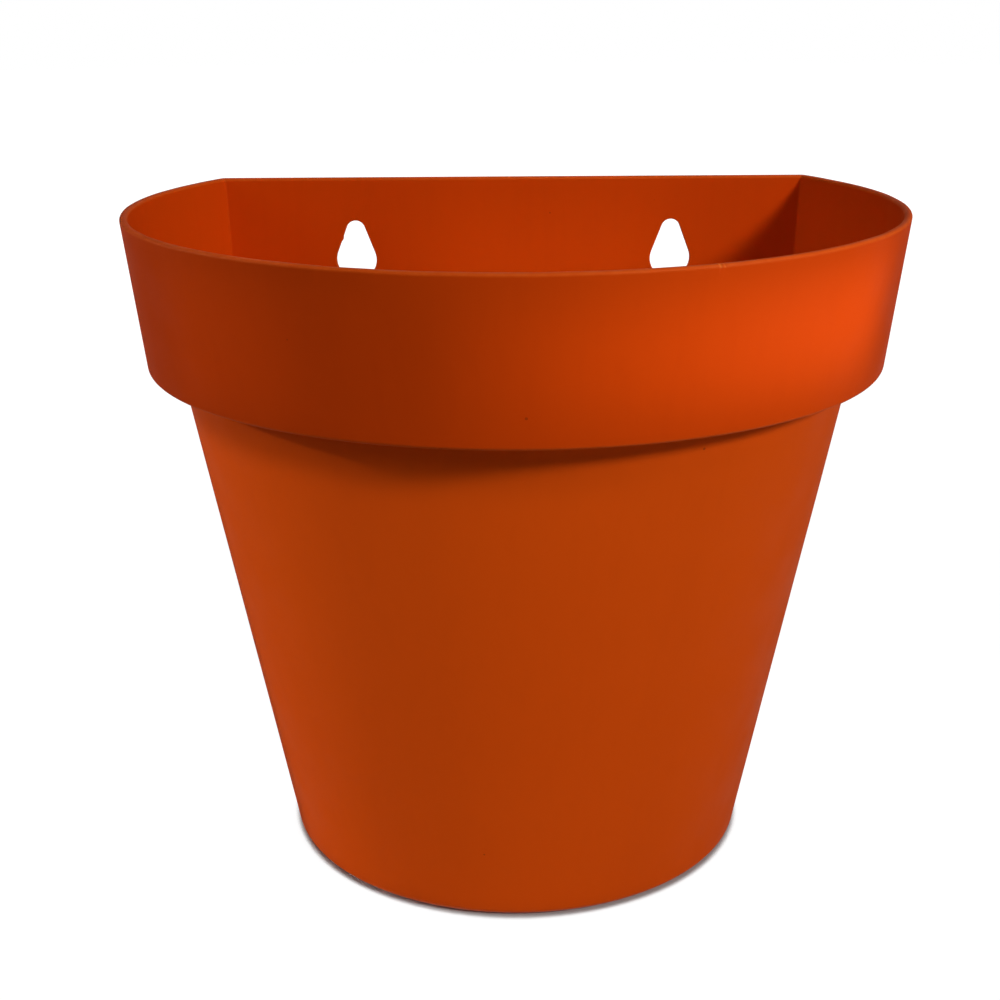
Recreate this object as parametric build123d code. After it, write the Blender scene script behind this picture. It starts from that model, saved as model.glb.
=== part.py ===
from build123d import *
import os
from math import asin, cos, sin, sqrt

# A flat-backed wall vase: a tapered pot with a stepped collar, hung on two wall screws,
# with a lift-out drain grid and three push-in drain plugs.
# Millimetres. The wall is the plane y = 0, the pot stands out along -Y and +Z is up.
# The pieces are built with the foot at z = 0. The last step lowers them so that the origin
# is the point of the wall face midway between the two hanging seats.

# Outside of the pot. Every level of it is a circle that the wall face cuts off, so a level has
# a width and the distance from the wall face to the circle's centre.
height = 200.0
rim_width = 218.0
rim_centre_depth = 58.8
collar_height = 43.2
collar_taper = 3.8
collar_step = 8.8
step_centre_depth = 54.0
base_width = 142.2
base_centre_depth = 36.5

# Walls and edge roundings of the pot
wall = 2.2
floor_thickness = 2.4
body_corner_radius = 3.4
collar_corner_radius = 1.6
inner_corner_radius = 0.9
lip_rounding = 1.0
collar_foot_rounding = 1.0
base_rounding = 2.6
gutter_rounding = 0.8

# Underside of the pot: a standing ring round a raised middle
foot_ring_width = 7.0
foot_recess = 3.5
recess_corner_radius = 3.0
gate_dimple_diameter = 9.0
gate_dimple_depth = 0.7
gate_nub_diameter = 3.2
gate_nub_height = 0.5

# Hanging keyholes in the back wall
keyhole_spacing = 100.0
seat_diameter = 6.0
seat_below_lip = 16.5
entry_diameter = 12.7
entry_below_seat = 9.4

# Drain holes, with their places as shares of the base's half width and depth
drain_hole_diameter = 10.0
side_hole_across_share = 0.45
side_hole_out_share = 0.36
front_hole_out_share = 0.72

# Drain plugs
plug_clearance = 0.05
plug_flange_overhang = 2.5
plug_flange_thickness = 1.4
plug_stem_reach = 2.6
plug_wall = 1.5
plug_lead_in = 0.6
plug_grip_width = 2.0
plug_grip_height = 1.2
plug_grip_length = 9.0

# Drain grid, with its leg places as shares of the base's half width and depth
grid_leg_length = 16.0
grid_thickness = 2.0
grid_gap = 1.2
grid_corner_radius = 2.0
grid_skirt_inset = 3.0
grid_skirt_thickness = 1.6
grid_skirt_depth = 5.0
grid_leg_diameter = 6.0
grid_leg_draft = 0.6
grid_hole_diameter = 4.5
grid_hole_pitch = 10.0
grid_hole_land = 2.0
grip_width = 26.0
grip_height = 16.0
grip_thickness = 2.4
grip_rounding = 5.0
leg_place_shares = [(-0.73, 0.15), (0.73, 0.15), (-0.64, 0.67), (0.64, 0.67), (0.0, 0.87)]

# Shares that keep a rounding inside the wall or corner that carries it
wall_rounding_share = 0.45
corner_rounding_share = 0.85

# How far a cutting solid runs past the face that it cuts
overrun = 1.0

# Where a block or cylinder stands or hangs from its own origin
standing = (Align.CENTER, Align.CENTER, Align.MIN)
hanging = (Align.CENTER, Align.CENTER, Align.MAX)

# Sizes that follow from the ones above
rim_circle = rim_width / 2
collar_foot_circle = rim_circle - collar_taper
body_top_circle = collar_foot_circle - collar_step
base_circle = base_width / 2
base_depth = base_centre_depth + base_circle
collar_foot_level = height - collar_height
ledge_level = collar_foot_level + wall
raised_floor_level = foot_recess + floor_thickness
seat_level = height - seat_below_lip
entry_level = seat_level - entry_below_seat
lip_radius = min(lip_rounding, wall * wall_rounding_share)
base_radius = min(base_rounding, body_corner_radius * corner_rounding_share)
foot_radius = min(collar_foot_rounding, collar_corner_radius * corner_rounding_share)
gutter_radius = min(gutter_rounding, inner_corner_radius * corner_rounding_share)
grip_radius = min(grip_rounding, min(grip_width, grip_height) * wall_rounding_share)


def between(low, high, share):
    """The value that lies the given share of the way from low to high."""
    return low + (high - low) * share


def body_section(level):
    """Radius and centre depth of the tapered body's outside at a height."""
    share = level / collar_foot_level
    radius = between(base_circle, body_top_circle, share)
    centre = between(base_centre_depth, step_centre_depth, share)
    return radius, centre


def collar_section(level):
    """Radius and centre depth of the collar's outside at a height."""
    share = (level - collar_foot_level) / collar_height
    radius = between(collar_foot_circle, rim_circle, share)
    centre = between(step_centre_depth, rim_centre_depth, share)
    return radius, centre


def d_face(section, level, inset, corner):
    """A flat-backed D at a height, drawn in by inset all round, with rounded back corners."""
    radius, centre = section[0] - inset, section[1]
    corner_y = -inset - corner
    corner_x = sqrt((radius - corner) ** 2 - (corner_y + centre) ** 2)
    reach = radius / (radius - corner)
    side_x = corner_x * reach
    side_y = -centre + (corner_y + centre) * reach
    out_x = corner_x / (radius - corner)
    out_y = (corner_y + centre) / (radius - corner) + 1
    out_length = sqrt(out_x**2 + out_y**2)
    mid_x = corner_x + corner * out_x / out_length
    mid_y = corner_y + corner * out_y / out_length
    back = Line((-corner_x, -inset), (corner_x, -inset))
    right_corner = ThreePointArc((corner_x, -inset), (mid_x, mid_y), (side_x, side_y))
    front = ThreePointArc((side_x, side_y), (0, -centre - radius), (-side_x, side_y))
    left_corner = ThreePointArc((-side_x, side_y), (-mid_x, mid_y), (-corner_x, -inset))
    outline = Wire([back, right_corner, front, left_corner])
    return Pos(0, 0, level) * Face(outline)


def tapered_d(section_at, bottom, top, inset, corner):
    """A solid between two heights whose every level is a D of the given outline."""
    lower = d_face(section_at(bottom), bottom, inset, corner)
    upper = d_face(section_at(top), top, inset, corner)
    return loft([lower, upper], ruled=True)


def raised(face, rise):
    """The solid that a level face sweeps when it is raised."""
    return extrude(face, rise, dir=(0, 0, 1))


def edges_at(shape, level):
    """The edges that lie flat at a height."""
    return shape.edges().filter_by_position(Axis.Z, level, level)


def make_collar():
    """The collar as a cup: open above the ledge, with its lip and its lower edge rounded."""
    collar = tapered_d(collar_section, collar_foot_level, height, 0, collar_corner_radius)
    collar = fillet(edges_at(collar, collar_foot_level), foot_radius)
    inside = tapered_d(collar_section, ledge_level, height + overrun, wall, inner_corner_radius)
    collar = collar - inside
    return fillet(edges_at(collar, height), lip_radius)


def body_outside():
    """The tapered body as a full solid up to the ledge, with its foot rounded."""
    body = tapered_d(body_section, 0, ledge_level, 0, body_corner_radius)
    return fillet(edges_at(body, 0), base_radius)


def body_inside():
    """The space inside the tapered body, from the gutter round the floor to the ledge."""
    space = tapered_d(body_section, floor_thickness, ledge_level + overrun, wall, inner_corner_radius)
    return fillet(edges_at(space, floor_thickness), gutter_radius)


def raised_floor():
    """The middle of the floor, raised so that water runs to the gutter round it."""
    outline = d_face(body_section(0), 0, foot_ring_width - wall, recess_corner_radius)
    return raised(outline, raised_floor_level)


def foot_recess_space():
    """The space under the raised floor, inside the standing ring."""
    outline = d_face(body_section(0), 0, foot_ring_width, recess_corner_radius)
    return Pos(0, 0, -overrun) * raised(outline, foot_recess + overrun)


def keyhole_space(across):
    """One teardrop keyhole through the back wall: a wide entry below a narrow seat."""
    entry_radius = entry_diameter / 2
    seat_radius = seat_diameter / 2
    lean = asin((entry_radius - seat_radius) / entry_below_seat)
    seat_x = seat_radius * cos(lean)
    seat_y = seat_level + seat_radius * sin(lean)
    entry_x = entry_radius * cos(lean)
    entry_y = entry_level + entry_radius * sin(lean)
    right_seat = (across + seat_x, seat_y)
    left_seat = (across - seat_x, seat_y)
    right_entry = (across + entry_x, entry_y)
    left_entry = (across - entry_x, entry_y)
    top = (across, seat_level + seat_radius)
    bottom = (across, entry_level - entry_radius)
    seat = ThreePointArc(left_seat, top, right_seat)
    right_flank = Line(right_seat, right_entry)
    entry = ThreePointArc(right_entry, bottom, left_entry)
    left_flank = Line(left_entry, left_seat)
    outline = Face(Wire([seat, right_flank, entry, left_flank]))
    placed = Plane.XZ.offset(-overrun) * outline
    return extrude(placed, wall + 2 * overrun, dir=(0, -1, 0))


def drain_places():
    """Centre of each drain hole on the floor, by the name of its plug."""
    side_x = base_circle * side_hole_across_share
    side_y = -base_depth * side_hole_out_share
    front_y = -base_depth * front_hole_out_share
    return {"left": (-side_x, side_y), "right": (side_x, side_y), "front": (0, front_y)}


def upright_cylinder(x, y, bottom, top, diameter):
    """A cylinder on the vertical axis through x, y between two heights."""
    return Pos(x, y, bottom) * Cylinder(diameter / 2, top - bottom, align=standing)


def gate_mark(pot):
    """The moulding gate's shallow dimple under the floor, with the trimmed nub in it."""
    middle = -base_depth / 2
    dimple_top = foot_recess + gate_dimple_depth
    dimple = upright_cylinder(0, middle, foot_recess - overrun, dimple_top, gate_dimple_diameter)
    nub = upright_cylinder(0, middle, dimple_top - gate_nub_height, dimple_top, gate_nub_diameter)
    return pot - dimple + nub


def make_pot_body():
    """The pot as one moulding."""
    pot = body_outside() + make_collar() - body_inside()
    pot = pot + raised_floor() - foot_recess_space()
    keyholes = [keyhole_space(side * keyhole_spacing / 2) for side in (-1, 1)]
    drain_top = raised_floor_level + overrun
    drains = [upright_cylinder(x, y, 0, drain_top, drain_hole_diameter) for x, y in drain_places().values()]
    return gate_mark(pot - keyholes - drains)


def make_drain_plug(x, y):
    """A push-in stopper: a flange under the floor and a hollow stem through the hole."""
    flange_diameter = drain_hole_diameter + 2 * plug_flange_overhang
    stem_diameter = drain_hole_diameter - 2 * plug_clearance
    flange_bottom = foot_recess - plug_flange_thickness
    stem_top = raised_floor_level + plug_stem_reach
    plug = upright_cylinder(x, y, flange_bottom, foot_recess, flange_diameter)
    stem = upright_cylinder(x, y, flange_bottom, stem_top, stem_diameter)
    stem = chamfer(edges_at(stem, stem_top), plug_lead_in)
    hollow = upright_cylinder(x, y, foot_recess, stem_top + overrun, stem_diameter - 2 * plug_wall)
    grip = Box(plug_grip_length, plug_grip_width, plug_grip_height, align=hanging)
    return plug + stem - hollow + Pos(x, y, flange_bottom) * grip


def leg_places():
    """Centre of each leg of the drain grid."""
    return [(base_circle * across, -base_depth * out) for across, out in leg_place_shares]


def grid_levels():
    """Heights of the underside and the top of the drain grid's plate."""
    underside = raised_floor_level + grid_leg_length
    return underside, underside + grid_thickness


def inside_d(section, inset, x, y):
    """Whether a point lies inside a D drawn in by inset."""
    radius, centre = section
    return y < -inset and sqrt(x**2 + (y + centre) ** 2) < radius - inset


def grid_hole_places():
    """Centres of the drain grid's holes: a square pattern, clear of edge, legs and grip."""
    section = body_section(grid_levels()[0])
    hole_radius = grid_hole_diameter / 2
    edge = wall + grid_gap + grid_skirt_inset + grid_skirt_thickness + grid_hole_land + hole_radius
    leg_clear = grid_leg_diameter / 2 + grid_hole_land + hole_radius
    grip_clear = grip_thickness / 2 + grid_hole_land + hole_radius
    middle = -base_depth / 2
    reach = int(max(base_width, base_depth) / grid_hole_pitch)
    places = []
    for column in range(-reach, reach + 1):
        for row in range(-reach, reach + 1):
            x = column * grid_hole_pitch
            y = middle + row * grid_hole_pitch
            on_grip = abs(x) < grip_width / 2 + hole_radius and abs(y - middle) < grip_clear
            on_leg = any(sqrt((x - a) ** 2 + (y - b) ** 2) < leg_clear for a, b in leg_places())
            if inside_d(section, edge, x, y) and not on_grip and not on_leg:
                places.append((x, y))
    return places


def grid_leg(x, y):
    """One slightly tapered leg that stands on the raised floor."""
    underside = grid_levels()[0]
    foot = Pos(x, y, raised_floor_level) * Circle(grid_leg_diameter / 2 - grid_leg_draft)
    root = Pos(x, y, underside) * Circle(grid_leg_diameter / 2)
    return loft([foot, root], ruled=True)


def grid_skirt(section):
    """The stiffening rib under the plate, a little inside its edge."""
    underside = grid_levels()[0]
    outer_inset = wall + grid_gap + grid_skirt_inset
    inner_inset = outer_inset + grid_skirt_thickness
    outer = d_face(section, underside - grid_skirt_depth, outer_inset, grid_corner_radius)
    inner = d_face(section, underside - grid_skirt_depth, inner_inset, inner_corner_radius)
    return raised(outer, grid_skirt_depth) - raised(inner, grid_skirt_depth)


def pinch_grip():
    """The upright tab in the middle of the plate that lifts the grid out."""
    top = grid_levels()[1]
    tab = Box(grip_width, grip_thickness, grip_height, align=standing)
    across_edges = tab.edges().filter_by(Axis.Y).group_by(Axis.Z)[-1]
    tab = fillet(across_edges, grip_radius)
    return Pos(0, -base_depth / 2, top) * tab


def make_drain_grid():
    """The perforated false floor on legs, with its skirt and pinch grip."""
    underside, top = grid_levels()
    section = body_section(underside)
    plate = raised(d_face(section, underside, wall + grid_gap, grid_corner_radius), grid_thickness)
    low = underside - overrun
    high = top + overrun
    holes = [upright_cylinder(x, y, low, high, grid_hole_diameter) for x, y in grid_hole_places()]
    legs = [grid_leg(x, y) for x, y in leg_places()]
    return plate - holes + grid_skirt(section) + pinch_grip() + legs


def save(name, shape):
    """Write one piece, lowered so that the origin is midway between the hanging seats."""
    export_step(Pos(0, 0, -seat_level) * shape, f"parts/{name}.step")


os.makedirs("parts", exist_ok=True)
save("pot_body", make_pot_body())
save("drain_grid", make_drain_grid())
for place_name, (place_x, place_y) in drain_places().items():
    save(f"drain_plug_{place_name}", make_drain_plug(place_x, place_y))
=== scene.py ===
import logging
from dataclasses import dataclass
from enum import Enum
from math import asin, atan2, cos, exp, hypot, pi, radians, sin, sqrt

import bmesh
import bpy
from mathutils import Matrix, Vector, noise


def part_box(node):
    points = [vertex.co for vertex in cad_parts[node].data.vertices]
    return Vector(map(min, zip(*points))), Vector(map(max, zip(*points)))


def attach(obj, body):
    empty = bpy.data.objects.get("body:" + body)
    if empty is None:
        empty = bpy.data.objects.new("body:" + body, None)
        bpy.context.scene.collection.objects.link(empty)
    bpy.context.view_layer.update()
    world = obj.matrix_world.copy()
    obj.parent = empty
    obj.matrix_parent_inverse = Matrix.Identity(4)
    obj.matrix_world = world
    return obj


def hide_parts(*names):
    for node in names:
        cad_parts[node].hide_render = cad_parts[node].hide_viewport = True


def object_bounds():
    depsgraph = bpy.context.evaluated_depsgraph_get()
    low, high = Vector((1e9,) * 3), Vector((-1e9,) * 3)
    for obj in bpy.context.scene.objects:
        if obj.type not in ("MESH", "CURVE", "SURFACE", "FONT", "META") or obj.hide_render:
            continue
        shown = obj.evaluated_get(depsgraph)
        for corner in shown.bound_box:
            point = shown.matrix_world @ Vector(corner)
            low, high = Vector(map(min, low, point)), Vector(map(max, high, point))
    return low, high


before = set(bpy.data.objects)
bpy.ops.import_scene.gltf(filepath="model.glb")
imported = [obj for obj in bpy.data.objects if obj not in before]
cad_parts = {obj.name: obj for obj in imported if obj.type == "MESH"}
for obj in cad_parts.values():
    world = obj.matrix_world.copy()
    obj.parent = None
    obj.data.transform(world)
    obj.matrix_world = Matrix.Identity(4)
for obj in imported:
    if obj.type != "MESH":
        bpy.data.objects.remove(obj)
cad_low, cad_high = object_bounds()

# The looks of a flat-backed wall vase: a moulded pot with a stepped collar and two keyholes,
# its lift-out drain grid and its drain plugs, on a plain pale floor.
# Metres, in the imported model's frame: the wall is the plane y = 0, the pot stands out along -Y.

MM = 0.001
EDGE_WEAR_AND_HIGHLIGHT = "edge_wear_and_highlight"
KNOCK_GLINTS = "knock_glints"
BREAK_STEPS = 3  # along the quarter circle of a broken edge
LOG = logging.getLogger("wall_vase")

Span = tuple[float, float]
Color = tuple[float, float, float, float]
Place = tuple[float, float, float]
Point = tuple[float, float]
Ring = list[bmesh.types.BMVert]


class Body(Enum):
    """The moving bodies of the vase."""

    POT = "pot"
    GRID = "grid"
    PLUG_LEFT = "plug_left"
    PLUG_RIGHT = "plug_right"
    PLUG_FRONT = "plug_front"


class Slot(Enum):
    """The record's material slots."""

    POT = "pot_plastic"
    GRID = "grid_plastic"
    PLUG = "plug_rubber"


class Socket(Enum):
    """Kinds of socket that the node groups use."""

    VALUE = "NodeSocketFloat"
    COLOR = "NodeSocketColor"
    VECTOR = "NodeSocketVector"


# Node graphs


class Graph:
    """A node tree with short ways to add and join nodes."""

    def __init__(self, tree: bpy.types.NodeTree) -> None:
        """Wraps a tree.

        Args:
            tree: the tree of a material, world or group.
        """
        self.tree = tree

    def add(self, kind: str, **settings: object) -> bpy.types.Node:
        """Adds a node.

        Args:
            kind: Blender's type name without the leading ShaderNode.
            settings: properties to set on the node.

        Returns:
            The new node.
        """
        node = self.tree.nodes.new("ShaderNode" + kind)
        for name, value in settings.items():
            setattr(node, name, value)
        return node

    def feed(self, socket: bpy.types.NodeSocket, source: object) -> None:
        """Gives an input socket a link or a plain value.

        Args:
            socket: the input.
            source: an output socket, or a value for the input.
        """
        if isinstance(source, bpy.types.NodeSocket):
            self.tree.links.new(source, socket)
        else:
            socket.default_value = source

    def math(self, operation: str, *inputs: object, clamp: bool = False) -> bpy.types.NodeSocket:
        """Adds a math node and returns its output.

        Args:
            operation: the node's operation.
            inputs: links or numbers, in the node's order.
            clamp: whether the result is kept within 0 and 1.

        Returns:
            The output socket.
        """
        node = self.add("Math", operation=operation, use_clamp=clamp)
        for socket, source in zip(node.inputs, inputs):
            self.feed(socket, source)
        return node.outputs[0]

    def remap(self, value: object, source: Span, target: Span = (0.0, 1.0)) -> bpy.types.NodeSocket:
        """Maps a value's range on another, smoothly and clamped.

        Args:
            value: the link to map.
            source: its low and high.
            target: what these become.

        Returns:
            The output socket.
        """
        node = self.add("MapRange", interpolation_type="SMOOTHSTEP")
        self.feed(node.inputs["Value"], value)
        for name, number in zip(("From Min", "From Max", "To Min", "To Max"), source + target):
            node.inputs[name].default_value = number
        return node.outputs["Result"]

    def mix_color(self, share: object, first: object, second: object) -> bpy.types.NodeSocket:
        """Mixes two colours.

        Args:
            share: how much of the second.
            first: colour or link.
            second: colour or link.

        Returns:
            The output socket.
        """
        node = self.add("Mix", data_type="RGBA")
        for name, source in (("Factor_Float", share), ("A_Color", first), ("B_Color", second)):
            socket = next(socket for socket in node.inputs if socket.identifier == name)
            self.feed(socket, source)
        return next(socket for socket in node.outputs if socket.identifier == "Result_Color")

    def noise(self, vector: object, scale: object, detail: float = 2.0,
              roughness: float = 0.5) -> bpy.types.NodeSocket:
        """Adds a noise texture and returns its factor.

        Args:
            vector: the link to the place.
            scale: repeats in a metre.
            detail: octaves.
            roughness: weight of the finer octaves.

        Returns:
            The factor's socket.
        """
        node = self.add("TexNoise")
        self.feed(node.inputs["Vector"], vector)
        self.feed(node.inputs["Scale"], scale)
        node.inputs["Detail"].default_value = detail
        node.inputs["Roughness"].default_value = roughness
        return node.outputs["Fac"]

    def place(self, stretch: Place = (1.0, 1.0, 1.0)) -> bpy.types.NodeSocket:
        """The place on the object in metres, stretched along its axes.

        Args:
            stretch: factor along x, y and z.

        Returns:
            The vector's socket.
        """
        mapping = self.add("Mapping")
        mapping.inputs["Scale"].default_value = stretch
        self.feed(mapping.inputs["Vector"], self.add("TexCoord").outputs["Object"])
        return mapping.outputs["Vector"]


@dataclass(frozen=True)
class Port:
    """A named input or output of a node group."""

    name: str
    kind: Socket
    default: object = None


class EffectGroup:
    """A node group that several finishes share, built once and placed with its own values."""

    name = "effect"
    inputs: tuple[Port, ...] = ()
    outputs: tuple[Port, ...] = ()

    def __init__(self) -> None:
        """Builds the group's sockets and then its nodes."""
        self.tree = bpy.data.node_groups.new(self.name, "ShaderNodeTree")
        for ports, side in ((self.inputs, "INPUT"), (self.outputs, "OUTPUT")):
            for port in ports:
                socket = self.tree.interface.new_socket(
                    port.name, in_out=side, socket_type=port.kind.value)
                if port.default is not None:
                    socket.default_value = port.default
        self.graph = Graph(self.tree)
        self.source = self.tree.nodes.new("NodeGroupInput")
        self.target = self.tree.nodes.new("NodeGroupOutput")
        self.build()

    def value(self, name: str) -> bpy.types.NodeSocket:
        """The named input, as seen inside the group."""
        return self.source.outputs[name]

    def give(self, name: str, source: object) -> None:
        """Joins a link to the named output."""
        self.graph.feed(self.target.inputs[name], source)

    def build(self) -> None:
        """Adds the group's nodes. Each effect has its own."""

    def place_in(self, graph: Graph, **values: object) -> bpy.types.Node:
        """Places the group in a material.

        Args:
            graph: the material's graph.
            values: a link or number for each input, with _ for a blank in its name.

        Returns:
            The group's node.
        """
        node = graph.add("Group")
        node.node_tree = self.tree
        for name, source in values.items():
            graph.feed(node.inputs[name.replace("_", " ")], source)
        return node


class MouldedSkin(EffectGroup):
    """Height of a moulded skin: fine satin grain over a slow ripple of shrinkage."""

    name = "moulded_skin"
    inputs = (
        Port("Grain per metre", Socket.VALUE, 3000.0),
        Port("Grain height", Socket.VALUE, 0.3),
        Port("Ripple per metre", Socket.VALUE, 60.0),
        Port("Ripple height", Socket.VALUE, 0.5),
    )
    outputs = (Port("Height", Socket.VALUE), Port("Unevenness", Socket.VALUE))
    grain_share = 0.4

    def build(self) -> None:
        """Adds grain and ripple, each weighed by its height."""
        g = self.graph
        place = g.place()
        grain = g.noise(place, self.value("Grain per metre"), detail=3.0, roughness=0.6)
        ripple = g.noise(place, self.value("Ripple per metre"), detail=1.0)
        fine = g.math("MULTIPLY", grain, self.value("Grain height"))
        slow = g.math("MULTIPLY", ripple, self.value("Ripple height"))
        self.give("Height", g.math("ADD", fine, slow))
        fine = g.math("MULTIPLY", grain, self.grain_share)
        slow = g.math("MULTIPLY", ripple, 1.0 - self.grain_share)
        self.give("Unevenness", g.math("ADD", fine, slow))


class ToneDrift(EffectGroup):
    """Colour that drifts slowly over a moulding, with faint streaks along its flow."""

    name = "tone_drift"
    inputs = (
        Port("Color", Socket.COLOR, (0.5, 0.5, 0.5, 1.0)),
        Port("Deep", Socket.COLOR, (0.3, 0.3, 0.3, 1.0)),
        Port("Drift", Socket.VALUE, 0.3),
        Port("Streak", Socket.VALUE, 0.2),
    )
    outputs = (Port("Color", Socket.COLOR),)
    clouds_per_metre = 14.0
    cloud_range = (0.3, 0.7)
    streaks_per_metre = 260.0
    streak_range = (0.45, 0.75)
    streak_stretch = (1.0, 1.0, 0.08)

    def build(self) -> None:
        """Mixes the deep tone in by clouds and by upright streaks."""
        g = self.graph
        cloud = g.remap(g.noise(g.place(), self.clouds_per_metre, detail=3.0), self.cloud_range)
        lengthwise = g.noise(g.place(self.streak_stretch), self.streaks_per_metre)
        streak = g.remap(lengthwise, self.streak_range)
        clouds = g.math("MULTIPLY", cloud, self.value("Drift"))
        streaks = g.math("MULTIPLY", streak, self.value("Streak"))
        share = g.math("ADD", clouds, streaks, clamp=True)
        self.give("Color", g.mix_color(share, self.value("Color"), self.value("Deep")))


class EdgeRubAndHighlight(EffectGroup):
    """Mask of edges rubbed by handling, together with highlights painted on rounded edges and glints
    painted in nicks, broken up by noise.
    """

    name = "edge_rub_and_highlight"
    inputs = (
        Port("Edge", Socket.VALUE, 0.0),
        Port("Amount", Socket.VALUE, 1.0),
        Port("Patches", Socket.VALUE, 0.6),
    )
    outputs = (Port("Mask", Socket.VALUE),)
    patches_per_metre = 420.0
    patch_range = (0.35, 0.7)

    def build(self) -> None:
        """Weighs the mesh's own edge mask by patches."""
        g = self.graph
        cloud = g.noise(g.place(), self.patches_per_metre, detail=4.0, roughness=0.65)
        patchy = g.remap(cloud, self.patch_range)
        bare = g.math("SUBTRACT", 1.0, self.value("Patches"))
        share = g.math("MULTIPLY_ADD", patchy, self.value("Patches"), bare)
        worn = g.math("MULTIPLY", self.value("Edge"), share)
        self.give("Mask", g.math("MULTIPLY", worn, self.value("Amount"), clamp=True))


class PigmentFlecks(EffectGroup):
    """Mask of tiny, sparse flecks of unmixed pigment."""

    name = "pigment_flecks"
    inputs = (Port("Cells per metre", Socket.VALUE, 90.0), Port("Size", Socket.VALUE, 0.05))
    outputs = (Port("Mask", Socket.VALUE),)
    kept_share = 0.16

    def build(self) -> None:
        """Keeps the middle of some cells of a cell texture."""
        g = self.graph
        cells = g.add("TexVoronoi", feature="F1")
        g.feed(cells.inputs["Vector"], g.place())
        g.feed(cells.inputs["Scale"], self.value("Cells per metre"))
        near = g.math("LESS_THAN", cells.outputs["Distance"], self.value("Size"))
        parts = g.add("SeparateColor")
        g.feed(parts.inputs["Color"], cells.outputs["Color"])
        kept = g.math("LESS_THAN", parts.outputs["Red"], self.kept_share)
        self.give("Mask", g.math("MULTIPLY", near, kept))


class DustFilm(EffectGroup):
    """Mask of dust that has settled on what faces up."""

    name = "dust_film"
    inputs = (Port("Amount", Socket.VALUE, 0.2),)
    outputs = (Port("Mask", Socket.VALUE),)
    upward_range = (0.55, 0.98)
    clouds_per_metre = 160.0
    cloud_range = (0.35, 0.75)
    thinnest = 0.1

    def build(self) -> None:
        """Weighs the upward facing part by cloudy noise."""
        g = self.graph
        parts = g.add("SeparateXYZ")
        g.feed(parts.inputs[0], g.add("NewGeometry").outputs["Normal"])
        upward = g.remap(parts.outputs["Z"], self.upward_range)
        cloud = g.noise(g.place(), self.clouds_per_metre, detail=5.0, roughness=0.7)
        cloudy = g.remap(cloud, self.cloud_range, (self.thinnest, 1.0))
        settled = g.math("MULTIPLY", upward, cloudy)
        self.give("Mask", g.math("MULTIPLY", settled, self.value("Amount"), clamp=True))


class Effects:
    """The shared effect groups, built once."""

    def __init__(self) -> None:
        """Builds each group."""
        self.skin = MouldedSkin()
        self.tone = ToneDrift()
        self.rub_and_highlight = EdgeRubAndHighlight()
        self.flecks = PigmentFlecks()
        self.dust = DustFilm()


# Finishes


@dataclass(frozen=True)
class PaintedBodyLight:
    """A lighter tone painted on a moulding below a level: painted light, standing in for the extra light
    that falls on the pot's body below the collar.
    """

    color: Color
    deep: Color
    level: float
    blend: float = 1.0 * MM

    def share(self, g: Graph) -> bpy.types.NodeSocket:
        """How much of the painted lighter tone shows at a place, 1 below the level.

        Args:
            g: the material's graph.

        Returns:
            The share's socket.
        """
        parts = g.add("SeparateXYZ")
        g.feed(parts.inputs[0], g.place())
        return g.remap(parts.outputs["Z"], (self.level, self.level - self.blend))


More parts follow.
